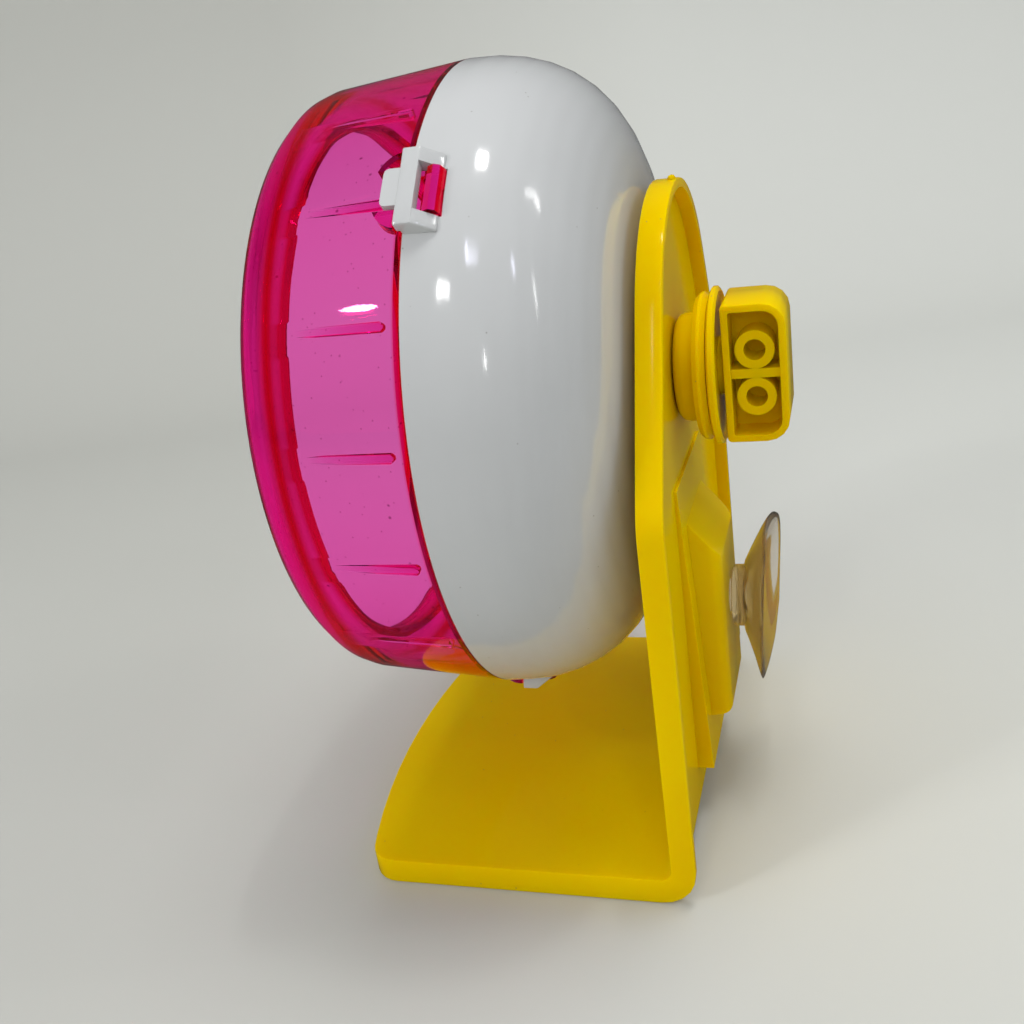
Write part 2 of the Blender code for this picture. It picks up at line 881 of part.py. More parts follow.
def wing_screw():
    """The knob, hollowed from both sides round a web and two sockets, with its threaded stem."""
    side = knob_width / 2
    inner_side = side - socket_drop
    membrane = knob_web / 2
    middle = knob_front - knob_depth / 2
    web_inset = knob_rim / 2
    knob = plate("wing_screw", "YZ", knob_outline(0), -side, side)
    bevel(knob, knob_edge, 2, 50)
    for name, hand in (("right", 1), ("left", -1)):
        low, high = sorted((hand * membrane, hand * (side + overrun)))
        hollow = plate(f"{name}_hollow", "YZ", knob_outline(knob_rim), low, high)
        boolean(knob, "DIFFERENCE", helper(hollow, wheel_axis))
    web = block(
        "knob_web",
        (-inner_side, -knob_web / 2, knob_front - knob_depth + web_inset),
        (inner_side, knob_web / 2, knob_front - web_inset),
    )
    boolean(knob, "UNION", helper(web, wheel_axis))
    for name, up in (("upper", socket_spacing / 2), ("lower", -socket_spacing / 2)):
        ends = [(-inner_side, up, middle), (inner_side, up, middle)]
        boolean(knob, "UNION", helper(rod(f"{name}_socket", socket_radius, *ends), wheel_axis))
        for hand in (1, -1):
            bore = rod(
                f"{name}_bore_{'right' if hand == 1 else 'left'}",
                socket_bore_radius,
                (hand * membrane, up, middle),
                (hand * (side + overrun), up, middle),
                20,
            )
            boolean(knob, "DIFFERENCE", helper(bore, wheel_axis))
    tip = knob_front + stem_length
    stem = turned(
        "stem",
        [
            (0, tip),
            (thread_radius - stem_point, tip),
            (thread_radius, tip - stem_point),
            (thread_radius, knob_front - web_inset),
            (0, knob_front - web_inset),
        ],
        24,
    )
    boolean(knob, "UNION", helper(stem, wheel_axis))
    return place(knob, yellow_gloss, wheel_axis)


def suction_cup():
    head_back = -(box_back_y - box_wall - fit_gap)
    collar_front = -(box_back_y + fit_gap)
    cone_start = collar_front - cup_collar_depth
    rim = cone_start - cup_depth
    cone = cup_rim_radius - cup_collar_radius
    outer_shares = [(0.35, 0.28), (0.7, 0.62)]
    inner_shares = [(0.8, 0.72), (0.45, 0.3)]
    inner_centre = cone_start - cup_centre_wall
    inner_rim = cup_rim_radius - cup_rim_wall
    profile = [
        (0, head_back + cup_head_thickness),
        (cup_stub_radius, head_back + cup_head_thickness),
        (cup_head_radius, head_back + cup_head_thickness / 2),
        (cup_head_radius, head_back),
        (cup_stub_radius, head_back),
        (cup_stub_radius, collar_front),
        (cup_collar_radius, collar_front),
        (cup_collar_radius, cone_start),
        *[
            (cup_collar_radius + cone * out, cone_start - cup_depth * down)
            for out, down in outer_shares
        ],
        (cup_rim_radius, rim),
        (inner_rim, rim - cup_rim_wall / 2),
        *[
            (inner_rim * out, inner_centre + (rim - inner_centre) * down)
            for out, down in inner_shares
        ],
        (0, inner_centre),
    ]
    return place(turned("suction_cup", profile, round_steps), cup_clear, cup_axis)


def arch_outline(inset):
    """The upright from the front: a round top, straight sloping sides and a straight foot."""
    width = stand_half_width - inset
    radius = arch_radius - inset
    centre_height = axle_height + arch_rise
    bend_height = axle_height - bend_drop
    drop = centre_height - bend_height
    span = math.hypot(width, drop)
    tangent = math.degrees(math.acos(radius / span) - math.atan2(drop, width))
    top = arc((0, centre_height), radius, tangent, 180 - tangent, 20)
    corners = [
        (-width, bend_height),
        (-width, -overrun),
        (width, -overrun),
        (width, bend_height),
    ]
    outline = top + corners
    first_bend = len(top)
    return fillet(outline, {first_bend: bend_round, first_bend + 3: bend_round})


def base_outline(inset):
    """The base from above: straight sides and a bowed front edge."""
    width = stand_half_width - inset
    bow_radius = (stand_half_width**2 + base_front_bow**2) / (2 * base_front_bow)
    centre_y = base_front - bow_radius
    radius = bow_radius - inset
    swing = math.degrees(math.asin(width / radius))
    bow = arc((0, -centre_y), radius, -90 - swing, -90 + swing, 12)
    back = rim_y + overrun
    outline = bow + [(width, back), (-width, back)]
    corner = base_corner_round - inset
    return fillet(outline, {0: corner, len(bow) - 1: corner})


def stand_shape(name, side_outline, half_width, inset):
    """A bent sheet: its side outline, trimmed to the upright's and the base's outlines."""
    body = plate(name, "YZ", side_outline, -half_width, half_width)
    top = axle_height + arch_rise + arch_radius + overrun
    front = -(base_front + overrun)
    back = rim_y + 2 * overrun
    arch = plate(f"{name}_arch", "XZ", arch_outline(inset), front, back)
    base = plate(f"{name}_base", "XY", base_outline(inset), -overrun, top)
    boolean(body, "INTERSECT", helper(arch, assembly))
    boolean(body, "INTERSECT", helper(base, assembly))
    return body


def stand_body():
    top = axle_height + arch_rise + arch_radius + overrun
    front = -(base_front + overrun)
    outline = fillet(
        [
            (front, 0),
            (rim_y, 0),
            (rim_y, top),
            (upright_y, top),
            (upright_y, base_height),
            (front, base_height),
        ],
        {1: heel_round, 4: throat_round},
    )
    return stand_shape("stand", outline, stand_half_width + overrun, 0)


def stand_hollow():
    """The shallow tray behind the upright, running on under the base."""
    top = axle_height + arch_rise + arch_radius
    front = -base_front
    back = rim_y + overrun
    under = base_height - stand_sheet
    outline = [
        (front, -overrun),
        (back, -overrun),
        (back, top),
        (tray_y, top),
        (tray_y, under),
        (front, under),
    ]
    width = stand_half_width
    return helper(stand_shape("stand_hollow", outline, width, stand_rim), assembly)


def plinth_outline(floor_y, root_y, inset):
    top = axle_height - plinth_top_drop - inset
    foot = axle_height - plinth_foot_drop + inset
    return [
        (root_y, top),
        (root_y, foot),
        (floor_y + plinth_foot_rise, foot),
        (floor_y + plinth_top_rise, top),
    ]


def plinth():
    outline = plinth_outline(tray_y, tray_y - stand_sheet / 2, 0)
    body = plate("plinth", "YZ", outline, -plinth_half_width, plinth_half_width)
    return helper(body, assembly)


def plinth_hollow():
    outline = plinth_outline(upright_y, upright_y - overrun, stand_rim)
    width = plinth_half_width - stand_rim
    return helper(plate("plinth_hollow", "YZ", outline, -width, width), assembly)


def box_outline(root_y, wall):
    """The cup box from the side: a sloping top, an upright back and a drafted foot."""
    slope = box_slope_drop / box_depth
    back = box_back_y - wall
    top = axle_height - box_top_drop - wall * slope
    foot = axle_height - box_foot_drop + wall
    return [
        (root_y, top - (root_y - tray_y) * slope),
        (root_y, foot - box_foot_draft),
        (back, foot),
        (back, top - (back - tray_y) * slope),
    ]


def cup_box():
    root = tray_y - stand_sheet / 2
    outline = fillet(box_outline(root, 0), {2: box_foot_round}, 3)
    body = plate("cup_box", "YZ", outline, -box_half_width, box_half_width)
    plan = fillet(
        [
            (-box_half_width, root - overrun),
            (box_half_width, root - overrun),
            (box_half_width, box_back_y),
            (-box_half_width, box_back_y),
        ],
        {2: box_corner_round, 3: box_corner_round},
        4,
    )
    foot = axle_height - box_foot_drop - overrun
    rounded = plate("cup_box_plan", "XY", plan, foot, axle_height - box_top_drop + overrun)
    boolean(body, "INTERSECT", helper(rounded, assembly))
    return helper(bevel(body, box_edge, 2, 30), assembly)


def cup_box_hollow():
    width = box_half_width - box_wall
    outline = box_outline(upright_y - overrun, box_wall)
    return helper(plate("cup_box_hollow", "YZ", outline, -width, width), assembly)


def spindle_hole():
    radius = shank_radius + fit_gap
    front = upright_front + overrun
    back = tray_floor - overrun
    hole = rod("spindle_hole", radius, (0, 0, back), (0, 0, front), round_steps)
    slot = key_block("key_slot", fit_gap, back, front)
    boolean(hole, "UNION", helper(slot, wheel_axis))
    return helper(hole, wheel_axis)


def cup_hole():
    radius = cup_stub_radius + fit_gap
    front = -(box_back_y - box_wall - overrun)
    back = -(box_back_y + overrun)
    return helper(rod("cup_hole", radius, (0, 0, back), (0, 0, front), 24), cup_axis)


def stand():
    body = stand_body()
    bevel(body, stand_edge, 2, 50)
    boolean(body, "DIFFERENCE", stand_hollow())
    boolean(body, "UNION", plinth())
    boolean(body, "UNION", cup_box())
    boolean(body, "DIFFERENCE", plinth_hollow())
    boolean(body, "DIFFERENCE", cup_box_hollow())
    boolean(body, "DIFFERENCE", spindle_hole())
    boolean(body, "DIFFERENCE", cup_hole())
    return place(body, yellow_gloss, assembly)


def centre_on_floor():
    """Moves the assembly so that its footprint's middle is at the origin."""
    bpy.context.view_layer.update()
    graph = bpy.context.evaluated_depsgraph_get()
    corners = [
        obj.matrix_world @ Vector(corner)
        for obj in parts.objects
        if obj.type == "MESH"
        for corner in obj.evaluated_get(graph).bound_box
    ]
    low_x, high_x = min(c.x for c in corners), max(c.x for c in corners)
    low_y, high_y = min(c.y for c in corners), max(c.y for c in corners)
    assembly.location = (-(low_x + high_x) / 2, -(low_y + high_y) / 2, 0)


stand()
spindle()
lock_ring()
bearing_races()
bearing_shields()
bearing_balls()
bearing_retainer()
rear_bowl()
front_ring()
hub_cap()
retaining_washer()
axle_screw()
clamp_disc()
wing_screw()
suction_cup()
centre_on_floor()
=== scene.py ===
"""The look of a small-pet exercise wheel: plastics, small moulded details, studio and camera."""

import json
import math

import bmesh
import bpy
from mathutils import Matrix, Vector


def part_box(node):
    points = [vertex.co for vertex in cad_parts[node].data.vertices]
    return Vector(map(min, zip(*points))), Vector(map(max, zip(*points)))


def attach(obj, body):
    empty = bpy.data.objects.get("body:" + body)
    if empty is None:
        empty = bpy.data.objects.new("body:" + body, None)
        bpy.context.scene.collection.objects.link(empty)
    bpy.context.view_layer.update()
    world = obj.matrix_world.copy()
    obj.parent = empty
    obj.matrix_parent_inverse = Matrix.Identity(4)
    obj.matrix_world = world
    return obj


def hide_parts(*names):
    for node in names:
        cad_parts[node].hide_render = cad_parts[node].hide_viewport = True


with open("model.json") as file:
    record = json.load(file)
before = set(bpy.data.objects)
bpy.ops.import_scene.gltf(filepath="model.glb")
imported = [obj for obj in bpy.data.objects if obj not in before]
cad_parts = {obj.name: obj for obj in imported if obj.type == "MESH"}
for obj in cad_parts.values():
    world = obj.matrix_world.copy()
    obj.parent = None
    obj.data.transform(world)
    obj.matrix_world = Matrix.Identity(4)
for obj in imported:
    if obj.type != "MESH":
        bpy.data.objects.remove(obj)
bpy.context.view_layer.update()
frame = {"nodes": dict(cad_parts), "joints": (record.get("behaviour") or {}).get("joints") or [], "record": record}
nodes = frame["nodes"]

bpy.context.scene.view_settings.view_transform = "Standard"

# Light that runs along inside the clear ring's wall turns many corners before it comes out
light_paths = bpy.context.scene.cycles
light_paths.max_bounces = 32
light_paths.glossy_bounces = 24
light_paths.transmission_bounces = 24

# The wheel's axis in the part's frame, from its joint
wheel_joint = next(joint for joint in frame["joints"] if joint["name"] == "wheel_spin")
axis_point = Vector(wheel_joint["pos_m"])

# Places along the wheel's axis: the seam of ring and bowl, and where the ring's lip begins
seam_y = -0.01025
lip_root_y = -0.0378

# Both drum halves are turned in this many steps
drum_steps = 54

# Sharper edges than this stay sharp, and corners closer than these are joined
sharp_angle = math.radians(32)
join_distance = 0.00001
weld_distance = 0.000002

# Colours of the dust on the opaque plastics, and of the dust and smears on the clear ones
dust_on_solid = (0.20, 0.18, 0.15)
dust_on_clear = (0.12, 0.05, 0.08)
smear_on_clear = (0.20, 0.08, 0.10)

# How far a moulded skin waves in and out
skin_wave = 0.00002


def new_material(name):
    """A material with only a Principled shader: returns (material, tree, shader)."""
    made = bpy.data.materials.new(name)
    made.use_nodes = True
    tree = made.node_tree
    return made, tree, tree.nodes["Principled BSDF"]


def add_node(tree, kind, **values):
    """A node whose keyword values go to its inputs by name, with _ for a space."""
    node = tree.nodes.new(kind)
    for name, value in values.items():
        node.inputs[name.replace("_", " ")].default_value = value
    return node


def noise(tree, scale, detail=2.0, roughness=0.5):
    """Noise over the object's own coordinates."""
    place = tree.nodes.new("ShaderNodeTexCoord")
    node = add_node(tree, "ShaderNodeTexNoise", Scale=scale, Detail=detail, Roughness=roughness)
    tree.links.new(place.outputs["Object"], node.inputs["Vector"])
    return node.outputs["Fac"]


def remap(tree, value, low, high, start=0.3, end=0.7):
    """A value between start and end spread over low to high."""
    node = add_node(tree, "ShaderNodeMapRange")
    node.inputs["From Min"].default_value = start
    node.inputs["From Max"].default_value = end
    node.inputs["To Min"].default_value = low
    node.inputs["To Max"].default_value = high
    tree.links.new(value, node.inputs["Value"])
    return node.outputs["Result"]


def bump(tree, shader, value, height):
    """Raises the surface by up to a height in metres, where the texture's value is high."""
    node = add_node(tree, "ShaderNodeBump", Strength=1.0, Distance=height)
    tree.links.new(value, node.inputs["Height"])
    tree.links.new(node.outputs["Normal"], shader.inputs["Normal"])


def mixed_colour(tree, share, first, second):
    """A colour that goes from first to second with a texture's value."""
    node = tree.nodes.new("ShaderNodeMix")
    node.data_type = "RGBA"
    node.inputs["A"].default_value = (*first, 1)
    node.inputs["B"].default_value = (*second, 1)
    tree.links.new(share, node.inputs["Factor"])
    return node.outputs["Result"]


def tinted(tree, colour, share, tint):
    """What a colour output gives, with a tint mixed in by a share."""
    mix = tree.nodes.new("ShaderNodeMix")
    mix.data_type = "RGBA"
    mix.inputs["B"].default_value = (*tint, 1)
    tree.links.new(colour, mix.inputs["A"])
    tree.links.new(share, mix.inputs["Factor"])
    return mix.outputs["Result"]


def tint_base(tree, shader, share, tint):
    """Mixes a tint into what already drives the shader's base colour."""
    base = shader.inputs["Base Color"]
    tree.links.new(tinted(tree, base.links[0].from_socket, share, tint), base)


def maths(tree, operation, value, other=None):
    """A Math node on an output and, where it takes two, another output or a number."""
    node = tree.nodes.new("ShaderNodeMath")
    node.operation = operation
    tree.links.new(value, node.inputs[0])
    if isinstance(other, float):
        node.inputs[1].default_value = other
    elif other is not None:
        tree.links.new(other, node.inputs[1])
    return node


def specks(tree, scale, size, strength):
    """Sparse small dots: strength in a dot's core, fading to 0 at its edge."""
    core_share = 0.4
    place = tree.nodes.new("ShaderNodeTexCoord")
    cells = add_node(tree, "ShaderNodeTexVoronoi", Scale=scale, Randomness=1.0)
    tree.links.new(place.outputs["Object"], cells.inputs["Vector"])
    return remap(tree, cells.outputs["Distance"], strength, 0.0, size * core_share, size)


def stripe(tree, centre, half, soft):
    """A band round the wheel's axis: 1 within half of a place along the object's Y, and 0 outside."""
    place = tree.nodes.new("ShaderNodeTexCoord")
    parts = tree.nodes.new("ShaderNodeSeparateXYZ")
    tree.links.new(place.outputs["Object"], parts.inputs["Vector"])
    offset = maths(tree, "SUBTRACT", parts.outputs["Y"], centre)
    away = maths(tree, "ABSOLUTE", offset.outputs["Value"])
    return remap(tree, away.outputs["Value"], 1.0, 0.0, half - soft, half + soft)


def moulded_plastic(name, colour, darker, roughness, specular=0.5, glow=0.0):
    """Gloss plastic with slight colour flow, a wavy skin and dust, and a glow of light inside it."""
    made, tree, shader = new_material(name)
    flow = remap(tree, noise(tree, 22, 2), 0.0, 1.0)
    base = mixed_colour(tree, flow, colour, darker)
    dusty = tinted(tree, base, specks(tree, 210, 0.045, 0.6), dust_on_solid)
    tree.links.new(dusty, shader.inputs["Base Color"])
    polish = remap(tree, noise(tree, 90, 4, 0.6), roughness * 0.75, roughness * 1.3)
    tree.links.new(polish, shader.inputs["Roughness"])
    bump(tree, shader, noise(tree, 35, 3), skin_wave)
    shader.inputs["IOR"].default_value = 1.5
    shader.inputs["Specular IOR Level"].default_value = specular
    shader.inputs["Subsurface Weight"].default_value = glow
    shader.inputs["Subsurface Radius"].default_value = (1.0, 0.55, 0.08)
    shader.inputs["Subsurface Scale"].default_value = 0.003
    return made


def clear_plastic(name, colour, clearness, depth_colour, density, roughness, ior, sheen):
    """See-through plastic that takes most of its colour from the thickness the light crosses."""
    made, tree, shader = new_material(name)
    dust = mixed_colour(tree, specks(tree, 170, 0.075, 0.85), colour, dust_on_clear)
    tree.links.new(dust, shader.inputs["Base Color"])
    tint_base(tree, shader, specks(tree, 420, 0.10, 0.6), smear_on_clear)
    shader.inputs["Transmission Weight"].default_value = clearness
    shader.inputs["IOR"].default_value = ior
    shader.inputs["Specular Tint"].default_value = (*sheen, 1)
    polish = remap(tree, noise(tree, 120, 4, 0.6), roughness * 0.5, roughness * 1.5)
    tree.links.new(polish, shader.inputs["Roughness"])
    bump(tree, shader, noise(tree, 40, 3), skin_wave)
    inside = tree.nodes.new("ShaderNodeVolumeAbsorption")
    inside.inputs["Color"].default_value = (*depth_colour, 1)
    inside.inputs["Density"].default_value = density
    tree.links.new(inside.outputs["Volume"], tree.nodes["Material Output"].inputs["Volume"])
    return made


def metal(name, colour, roughness):
    """Bare metal with a fine uneven polish."""
    made, tree, shader = new_material(name)
    shader.inputs["Base Color"].default_value = (*colour, 1)
    shader.inputs["Metallic"].default_value = 1.0
    polish = remap(tree, noise(tree, 900, 3), roughness * 0.7, roughness * 1.3)
    tree.links.new(polish, shader.inputs["Roughness"])
    return made


def pink_ring():
    """The ring's clear pink, with a painted deeper red in the lip and at the seam that stands in for light running
    along the wall there.
    """
    made = clear_plastic(
        "pink_clear",
        (1, 1, 1),
        clearness=1.0,
        depth_colour=(0.996, 0.0, 0.72),
        density=880,
        roughness=0.02,
        ior=1.42,
        sheen=(1.0, 0.15, 0.45),
    )
    tree = made.node_tree
    shader = tree.nodes["Principled BSDF"]
    # Painted colour: a dark crimson band at the lip and a redder band at the seam, standing in for light that runs
    # along the wall
    tint_base(tree, shader, stripe(tree, lip_root_y, 0.0016, 0.0012), (0.70, 0.004, 0.03))
    tint_base(tree, shader, stripe(tree, seam_y - 0.0005, 0.0007, 0.0003), (1.0, 0.05, 0.20))
    return made


looks = {
    "pink_clear": pink_ring(),
    "white_gloss": moulded_plastic(
        "white_gloss", (0.56, 0.57, 0.57), (0.53, 0.54, 0.54), roughness=0.11, specular=0.7
    ),
    "yellow_gloss": moulded_plastic(
        "yellow_gloss", (0.81, 0.56, 0.0), (0.77, 0.50, 0.0), roughness=0.13, specular=0.05, glow=0.5
    ),
    "cup_clear": clear_plastic(
        "cup_clear",
        (0.88, 0.84, 0.76),
        clearness=0.95,
        depth_colour=(0.86, 0.79, 0.60),
        density=200,
        roughness=0.06,
        ior=1.36,
        sheen=(1, 1, 1),
    ),
    "steel": metal("steel", (0.60, 0.61, 0.62), roughness=0.25),
    "spring_steel": metal("spring_steel", (0.40, 0.40, 0.41), roughness=0.32),
    "nylon": moulded_plastic("nylon", (0.55, 0.50, 0.38), (0.50, 0.45, 0.33), roughness=0.45),
}


def smoothing_group():
    """A node group that joins a faceted mesh's split corners and shades it smooth up to an angle."""
    group = bpy.data.node_groups.new("smooth_facets", "GeometryNodeTree")
    group.interface.new_socket("Geometry", in_out="INPUT", socket_type="NodeSocketGeometry")
    group.interface.new_socket("Geometry", in_out="OUTPUT", socket_type="NodeSocketGeometry")
    start = group.nodes.new("NodeGroupInput")
    end = group.nodes.new("NodeGroupOutput")
    join = group.nodes.new("GeometryNodeMergeByDistance")
    join.inputs["Distance"].default_value = join_distance
    smooth = group.nodes.new("GeometryNodeSetShadeSmooth")
    smooth.domain = "FACE"
    sharp = group.nodes.new("GeometryNodeSetShadeSmooth")
    sharp.domain = "EDGE"
    sharp.inputs["Shade Smooth"].default_value = False
    angle = group.nodes.new("GeometryNodeInputMeshEdgeAngle")
    over = group.nodes.new("FunctionNodeCompare")
    over.data_type = "FLOAT"
    over.operation = "GREATER_THAN"
    over.inputs[1].default_value = sharp_angle
    link = group.links.new
    link(start.outputs[0], join.inputs["Geometry"])
    link(join.outputs["Geometry"], smooth.inputs["Geometry"])
    link(smooth.outputs["Geometry"], sharp.inputs["Geometry"])
    link(angle.outputs["Unsigned Angle"], over.inputs[0])
    link(over.outputs["Result"], sharp.inputs["Selection"])
    link(sharp.outputs["Geometry"], end.inputs[0])
    return group


slots = {part["node"]: part["material_slot"] for part in frame["record"]["subparts"]}
smoothing = smoothing_group()
for name, node in nodes.items():
    node.data.materials.clear()
    node.data.materials.append(looks[slots[name]])
    for split_normals in ("custom_normal", "sharp_face"):
        if split_normals in node.data.attributes:
            node.data.attributes.remove(node.data.attributes[split_normals])
    node.modifiers.new("smooth_facets", "NODES").node_group = smoothing


# Camera, as fitted to the photograph
azimuth = math.radians(108.73)
elevation = math.radians(21.77)
roll = math.radians(-8.45)
focal_pixels = 1132.5
picture_pixels = 1024
sensor_width = 36
camera_from_seam = Vector((0.24562, 0.07751, 0.06941))
ahead = Vector(
    (
        -math.sin(azimuth) * math.cos(elevation),
        math.cos(azimuth) * math.cos(elevation),
        -math.sin(elevation),
    )
)
right = ahead.cross(Vector((0, 0, 1))).normalized()
up = right.cross(ahead)
level_right = right * math.cos(roll) + up * math.sin(roll)
level_up = up * math.cos(roll) - right * math.sin(roll)
lens = bpy.data.cameras.new("camera")
lens.sensor_width = sensor_width
lens.lens = sensor_width * focal_pixels / picture_pixels
lens.clip_start = 0.01
camera = bpy.data.objects.new("camera", lens)
seam_centre = Vector((axis_point.x, seam_y, axis_point.z))
turn = Matrix((level_right, level_up, -ahead)).transposed().to_4x4()
camera.matrix_world = Matrix.Translation(seam_centre + camera_from_seam) @ turn
bpy.context.scene.collection.objects.link(camera)
bpy.context.scene.camera = camera


def paper_material(across, dark, light, reach, mirrored, seen_through):
    """Pale paper with painted shade darker to one side, painted dimmer in reflections and painted paler seen
    through clear plastic.
    """
    made, tree, shader = new_material("paper")
    place = tree.nodes.new("ShaderNodeTexCoord")
    along = tree.nodes.new("ShaderNodeVectorMath")
    along.operation = "DOT_PRODUCT"
    along.inputs[1].default_value = across
    tree.links.new(place.outputs["Object"], along.inputs[0])
    share = remap(tree, along.outputs["Value"], 0.0, 1.0, -reach, reach)
    ray = tree.nodes.new("ShaderNodeLightPath")
    refracted = ray.outputs["Is Transmission Ray"]
    # A refracted ray counts as glossy too
    reflected = maths(tree, "SUBTRACT", ray.outputs["Is Glossy Ray"], refracted)
    reflected.use_clamp = True
    colour = tinted(tree, mixed_colour(tree, share, dark, light), refracted, seen_through)
    colour = tinted(tree, colour, reflected.outputs["Value"], (mirrored, mirrored, mirrored))
    tree.links.new(colour, shader.inputs["Base Color"])
    shader.inputs["Roughness"].default_value = 0.6
    return made


def finished_mesh(name, shape):
    """A mesh from a bmesh that is done, which is then freed."""
    mesh = bpy.data.meshes.new(name)
    shape.to_mesh(mesh)
    shape.free()
    return mesh


def sweep():
    """A pale paper sweep: floor, cove and wall behind the object."""
    half = 4.0
    wall = 0.62
    cove = 0.25
    count = 12
    below_foot = 0.0002
    side = Vector((ahead.x, ahead.y, 0)).normalized()
    across = Vector((side.y, -side.x, 0))
    outline = [(-half, 0.0)]
    for i in range(count + 1):
        angle = math.pi / 2 * i / count
        outline.append((wall - cove + cove * math.sin(angle), cove - cove * math.cos(angle)))
    outline.append((wall, half))
    shape = bmesh.new()
    rows = []
    for run, height in outline:
        middle = side * run + Vector((0, 0, height - below_foot))
        rows.append([shape.verts.new(middle + across * half * hand) for hand in (-1, 1)])
    for first, second in zip(rows, rows[1:]):
        shape.faces.new((first[0], first[1], second[1], second[0]))
    mesh = finished_mesh("sweep", shape)
    mesh.shade_smooth()
    obj = bpy.data.objects.new("sweep", mesh)
    bpy.context.scene.collection.objects.link(obj)
    # The dark and light ends of the paper's painted shade, and its painted paleness seen through clear plastic
    dark, light, seen_through = (0.50, 0.505, 0.47), (0.60, 0.61, 0.575), (0.62, 0.62, 0.60)
    paper = paper_material(across, dark, light, reach=0.13, mirrored=0.07, seen_through=seen_through)
    mesh.materials.append(paper)


sweep()


def linked(name, mesh, slot):
    """A scene object from a mesh, with the look of one of the record's material slots."""
    mesh.materials.append(looks[slot])
    obj = bpy.data.objects.new(name, mesh)
    bpy.context.scene.collection.objects.link(obj)
    return obj


def interpolate(points, at):
    """The value at a place on a polyline of (place, value) points."""
    for (low, first), (high, second) in zip(points, points[1:]):
        if at <= high:
            share = (at - low) / (high - low)
            return first + (second - first) * max(0.0, min(1.0, share))
    return points[-1][1]


def round_point(centre, radius, turn, place):
    """A point at a place along Y, on a circle round a centre."""
    return (centre.x + radius * math.cos(turn), place, centre.z + radius * math.sin(turn))


def soft_cup():
    """The suction cup as it has set in use: its rim is wavy and its lower edge pulled to the stand."""
    low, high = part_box("suction_cup")
    low, high = Vector(low), Vector(high)
    centre = (low + high) / 2
    rim_radius = (high.x - low.x) / 2
    depth = 0.0063
    collar = 0.0027
    collar_radius = 0.0074
    stub_radius = 0.0040
    head_radius = 0.0060
    head = 0.0024
    rim_wall = 0.0008
    centre_wall = 0.0022
    # How far the corners of the head, the collar and the rim are cut back
    head_cut = 0.0006
    collar_cut = 0.0004
    rim_cut = 0.0002
    back = high.y
    cone = back - depth
    flare_out = (0.0, 0.12, 0.35, 0.6, 0.8, 0.93, 1.0)
    flare_down = (0.0, 0.05, 0.27, 0.52, 0.73, 0.89, 1.0)
    flare_width = rim_radius - collar_radius
    outer = [
        (collar_radius + flare_width * out, cone + depth * down)
        for out, down in zip(flare_out, flare_down)
    ]
    inner_rim = rim_radius - rim_wall
    bowl_out = (1.0, 0.93, 0.8, 0.62, 0.42, 0.2, 0.0)
    bowl_down = (0.0, 0.09, 0.27, 0.52, 0.74, 0.93, 1.0)
    inside = back - depth + centre_wall
    inner = [
        (inner_rim * out, back - (back - inside) * down) for out, down in zip(bowl_out, bowl_down)
    ]
    profile = [
        (0.0, low.y),
        (stub_radius, low.y),
        (head_radius - head_cut, low.y + head_cut / 2),
        (head_radius, low.y + head / 2),
        (head_radius - head_cut / 2, low.y + head - head_cut / 3),
        (stub_radius, low.y + head),
        (stub_radius, cone - collar),
        (collar_radius - collar_cut, cone - collar),
        (collar_radius, cone - collar + collar_cut),
        *outer,
        (rim_radius - rim_cut, back + rim_cut / 2),
        *inner,
    ]
    # How far the rim has moved, from its foot to its top, in waves and to the side
    set_in_use = [
        (-1.0, -0.0024),
        (-0.85, -0.0016),
        (-0.5, -0.0006),
        (0.0, -0.0002),
        (0.5, 0.0002),
        (0.8, 0.0006),
        (1.0, 0.0),
    ]
    waves = 0.0003
    sideways = 0.0010
    steps = 72
    shape = bmesh.new()
    rings = []
    for radius, place in profile:
        if radius == 0:
            rings.append([shape.verts.new((centre.x, place, centre.z))])
            continue
        ring = []
        for i in range(steps):
            turn = math.tau * i / steps
            share = radius / rim_radius
            moved = interpolate(set_in_use, math.sin(turn)) * share**3
            moved += waves * share**4 * math.sin(3 * turn + 0.8)
            moved -= sideways * share**3 * math.cos(turn)
            ring.append(shape.verts.new(round_point(centre, radius, turn, place + moved)))
        rings.append(ring)
    for first, second in zip(rings, rings[1:]):
        for i in range(steps):
            j = (i + 1) % steps
            near = [first[i % len(first)], first[j % len(first)]]
            far = [second[j % len(second)], second[i % len(second)]]
            shape.faces.new(list(dict.fromkeys(near + far)))
    bmesh.ops.recalc_face_normals(shape, faces=shape.faces)
    mesh = finished_mesh("soft_cup", shape)
    mesh.shade_smooth()
    cup = linked("soft_cup", mesh, "cup_clear")
    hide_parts("suction_cup")
    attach(cup, "stand")


soft_cup()


def rounded(name):
    """A finer copy of a drum half, its flat facets bent to the circle that they stand for."""
    shape = bmesh.new()
    shape.from_mesh(nodes[name].data)
    bmesh.ops.remove_doubles(shape, verts=shape.verts, dist=weld_distance)
    bmesh.ops.subdivide_edges(shape, edges=shape.edges, cuts=2, use_grid_fill=True)
    facet = math.tau / drum_steps
    for vert in shape.verts:
        across = vert.co.x - axis_point.x
        upward = vert.co.z - axis_point.z
        past_middle = math.atan2(upward, across) % facet - facet / 2
        grown = math.cos(past_middle) / math.cos(facet / 2)
        vert.co.x = axis_point.x + across * grown
        vert.co.z = axis_point.z + upward * grown
    round_name = name + "_round"
    piece = linked(round_name, finished_mesh(round_name, shape), slots[name])
    piece.modifiers.new("smooth_facets", "NODES").node_group = smoothing
    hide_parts(name)
    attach(piece, "wheel")


rounded("front_ring")
rounded("rear_bowl")


